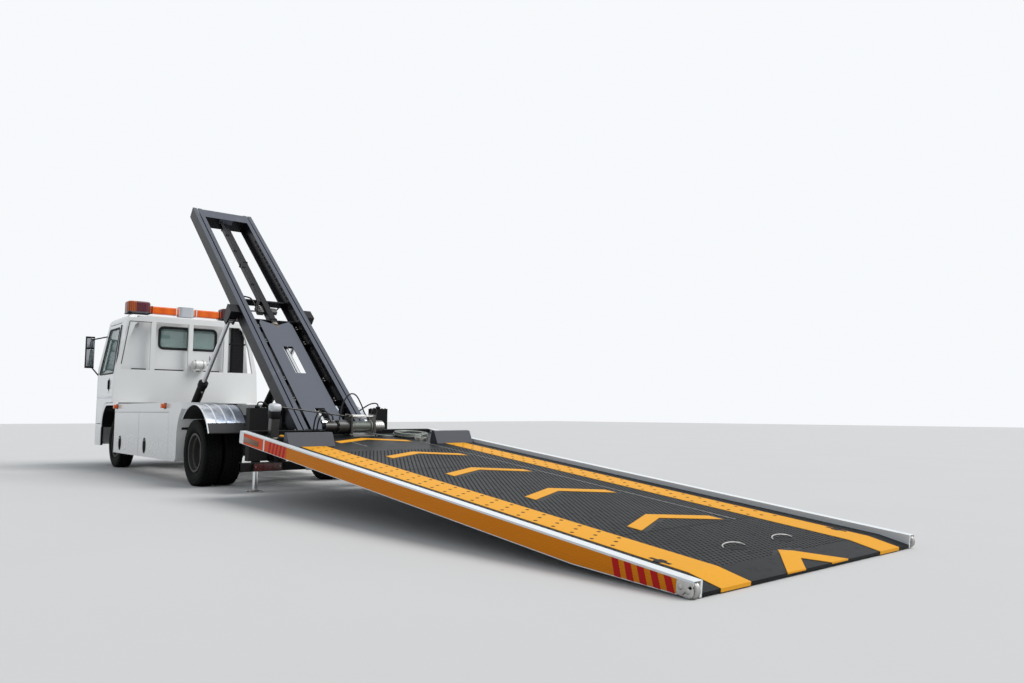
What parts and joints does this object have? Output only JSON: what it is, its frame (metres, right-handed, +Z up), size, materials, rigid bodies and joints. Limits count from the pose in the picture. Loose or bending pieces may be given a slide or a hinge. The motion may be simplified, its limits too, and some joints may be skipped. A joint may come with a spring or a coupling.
{
  "type": "flatbed tow truck",
  "caption": "Cab-over flatbed tow truck with a tilting slide frame and a full-width bed let down to the ground behind it.",
  "frame": {"origin": "on the ground below the middle of the whole truck", "axes": "+X forward, +Y to the left side, +Z up"},
  "size_m": [12.8186, 2.48, 4.0058],
  "materials": {
    "chassis_black": "semi gloss",
    "engine_grey": "cast",
    "cab_white": "gloss paint",
    "black_plastic": "grained",
    "seat_fabric": "woven",
    "glass": "clear, slightly green",
    "amber_lens": "moulded lens",
    "stainless": "polished sheet",
    "tyre": "worn rubber",
    "rim_silver": "dusty silver paint",
    "frame_black": "gloss paint",
    "chrome": "hard chrome",
    "deck_black": "gloss paint on tread plate",
    "rail_amber": "gloss paint",
    "stop_grey": "gloss paint",
    "winch_metal": "zinc",
    "cable_steel": "oiled wire rope"
  },
  "bodies": {
    "chassis": {"chassis_frame": "chassis_black", "engine_block": "engine_grey", "front_axle": "chassis_black", "rear_axle": "chassis_black", "cab_shell": "cab_white", "bumper": "cab_white", "cab_trim": "black_plastic", "lamps": "amber_lens", "cab_glass": "glass", "cab_interior": "black_plastic", "cab_seats": "seat_fabric", "cab_guard": "cab_white", "light_bar": "amber_lens", "lockers": "cab_white", "mudguards": "stainless"},
    "left_knuckle": {"knuckle_left": "chassis_black"},
    "right_knuckle": {"knuckle_right": "chassis_black"},
    "front_left_wheel": {"front_left_tyre": "tyre", "front_left_rim": "rim_silver"},
    "front_right_wheel": {"front_right_tyre": "tyre", "front_right_rim": "rim_silver"},
    "rear_left_wheels": {"rear_left_tyres": "tyre", "rear_left_rims": "rim_silver"},
    "rear_right_wheels": {"rear_right_tyres": "tyre", "rear_right_rims": "rim_silver"},
    "left_cab_door": {"cab_door_left": "cab_white", "cab_door_left_glass": "glass"},
    "right_cab_door": {"cab_door_right": "cab_white", "cab_door_right_glass": "glass"},
    "left_front_locker_door": {"locker_door_left_front": "cab_white"},
    "left_rear_locker_door": {"locker_door_left_rear": "cab_white"},
    "right_front_locker_door": {"locker_door_right_front": "cab_white"},
    "right_rear_locker_door": {"locker_door_right_rear": "cab_white"},
    "slide_frame": {"tilt_frame": "frame_black", "frame_cover": "frame_black"},
    "slide_cylinder_rod": {"slide_rod": "chrome"},
    "left_cylinder_barrel": {"tilt_barrel_left": "frame_black"},
    "right_cylinder_barrel": {"tilt_barrel_right": "frame_black"},
    "left_cylinder_rod": {"tilt_rod_left": "chrome"},
    "right_cylinder_rod": {"tilt_rod_right": "chrome"},
    "bed_carriage": {"carriage": "frame_black"},
    "bed": {"bed_frame": "frame_black", "deck": "deck_black", "side_rails": "rail_amber", "wheel_stops": "stop_grey", "winch_body": "winch_metal", "cable_lead": "cable_steel", "cable_coil": "cable_steel", "tow_hook": "cable_steel"},
    "winch_spool": {"winch_drum": "winch_metal"},
    "left_ramp_roller": {"roller_left": "winch_metal"},
    "right_ramp_roller": {"roller_right": "winch_metal"},
    "left_leg": {"leg_left": "chrome"},
    "right_leg": {"leg_right": "chrome"}
  },
  "joints": [
    {"name": "steer_left", "type": "hinge", "parent": "chassis", "child": "left_knuckle", "pos_m": [5.29928, 0.7, 0.402], "axis": [0, 0, 1], "range_deg": [-35, 35]},
    {"name": "steer_right", "type": "hinge", "parent": "chassis", "child": "right_knuckle", "pos_m": [5.29928, -0.7, 0.402], "axis": [0, 0, 1], "range_deg": [-35, 35]},
    {"name": "front_left_spin", "type": "hinge", "parent": "left_knuckle", "child": "front_left_wheel", "pos_m": [5.29928, 0.832, 0.402], "axis": [0, 1, 0], "continuous": true},
    {"name": "front_right_spin", "type": "hinge", "parent": "right_knuckle", "child": "front_right_wheel", "pos_m": [5.29928, -0.832, 0.402], "axis": [0, 1, 0], "continuous": true},
    {"name": "rear_left_spin", "type": "hinge", "parent": "chassis", "child": "rear_left_wheels", "pos_m": [1.12428, 0.835, 0.402], "axis": [0, 1, 0], "continuous": true},
    {"name": "rear_right_spin", "type": "hinge", "parent": "chassis", "child": "rear_right_wheels", "pos_m": [1.12428, -0.835, 0.402], "axis": [0, 1, 0], "continuous": true},
    {"name": "cab_door_left_hinge", "type": "hinge", "parent": "chassis", "child": "left_cab_door", "pos_m": [6.18928, 1.035, 1.4], "axis": [0, 0, -1], "range_deg": [0, 65]},
    {"name": "cab_door_right_hinge", "type": "hinge", "parent": "chassis", "child": "right_cab_door", "pos_m": [6.18928, -1.035, 1.4], "axis": [0, 0, 1], "range_deg": [0, 65]},
    {"name": "locker_left_front_hinge", "type": "hinge", "parent": "chassis", "child": "left_front_locker_door", "pos_m": [3.42828, 1.09, 0.58], "axis": [0, 0, 1], "range_deg": [0, 100]},
    {"name": "locker_left_rear_hinge", "type": "hinge", "parent": "chassis", "child": "left_rear_locker_door", "pos_m": [2.06428, 1.09, 0.58], "axis": [0, 0, 1], "range_deg": [0, 100]},
    {"name": "locker_right_front_hinge", "type": "hinge", "parent": "chassis", "child": "right_front_locker_door", "pos_m": [3.42828, -1.09, 0.58], "axis": [0, 0, -1], "range_deg": [0, 100]},
    {"name": "locker_right_rear_hinge", "type": "hinge", "parent": "chassis", "child": "right_rear_locker_door", "pos_m": [2.06428, -1.09, 0.58], "axis": [0, 0, -1], "range_deg": [0, 100]},
    {"name": "frame_tilt", "type": "hinge", "parent": "chassis", "child": "slide_frame", "pos_m": [-0.00672, 0, 0.9], "axis": [0, 1, 0], "range_deg": [0, 40.5]},
    {"name": "left_cylinder_swing", "type": "hinge", "parent": "chassis", "child": "left_cylinder_barrel", "pos_m": [3.24528, 0.53, 0.578], "axis": [0, -1, 0], "range_deg": [0, 31.77]},
    {"name": "left_cylinder_stroke", "type": "slide", "parent": "left_cylinder_barrel", "child": "left_cylinder_rod", "axis": [0.7432, 0, -0.669], "range_m": [0, 0.97871]},
    {"name": "right_cylinder_swing", "type": "hinge", "parent": "chassis", "child": "right_cylinder_barrel", "pos_m": [3.24528, -0.53, 0.578], "axis": [0, -1, 0], "range_deg": [0, 31.77]},
    {"name": "right_cylinder_stroke", "type": "slide", "parent": "right_cylinder_barrel", "child": "right_cylinder_rod", "axis": [0.7432, 0, -0.669], "range_m": [0, 0.97871]},
    {"name": "carriage_slide", "type": "slide", "parent": "slide_frame", "child": "bed_carriage", "axis": [0.7604, 0, 0.6494], "range_m": [0, 5.15]},
    {"name": "slide_cylinder_stroke", "type": "slide", "parent": "slide_frame", "child": "slide_cylinder_rod", "axis": [0.7604, 0, 0.6494], "range_m": [0, 1.71667]},
    {"name": "bed_hinge", "type": "hinge", "parent": "bed_carriage", "child": "bed", "pos_m": [-0.61674, 0, 0.64727], "axis": [0, -1, 0], "range_deg": [0, 34.4]},
    {"name": "winch_drum_spin", "type": "hinge", "parent": "bed", "child": "winch_spool", "pos_m": [-0.86096, -0.0875, 0.73984], "axis": [0, 1, 0], "continuous": true},
    {"name": "left_ramp_roller_spin", "type": "hinge", "parent": "bed", "child": "left_ramp_roller", "pos_m": [-6.36428, 1.172, 0.045], "axis": [0, 1, 0], "continuous": true},
    {"name": "right_ramp_roller_spin", "type": "hinge", "parent": "bed", "child": "right_ramp_roller", "pos_m": [-6.36428, -1.172, 0.045], "axis": [0, 1, 0], "continuous": true},
    {"name": "left_leg_slide", "type": "slide", "parent": "chassis", "child": "left_leg", "axis": [0, 0, 1], "range_m": [0, 0.3]},
    {"name": "right_leg_slide", "type": "slide", "parent": "chassis", "child": "right_leg", "axis": [0, 0, 1], "range_m": [0, 0.3]}
  ],
  "couplings": [
    {"joint": "steer_right", "follows": "steer_left", "ratio": 1},
    {"joint": "left_cylinder_swing", "follows": "frame_tilt", "ratio": 0.78455},
    {"joint": "right_cylinder_swing", "follows": "frame_tilt", "ratio": 0.78455},
    {"joint": "left_cylinder_stroke", "follows": "frame_tilt", "m_per_rad": 1.3846},
    {"joint": "right_cylinder_stroke", "follows": "frame_tilt", "m_per_rad": 1.3846},
    {"joint": "bed_hinge", "follows": "frame_tilt", "ratio": 0.84936},
    {"joint": "slide_cylinder_stroke", "follows": "carriage_slide", "ratio": 0.33333}
  ]
}
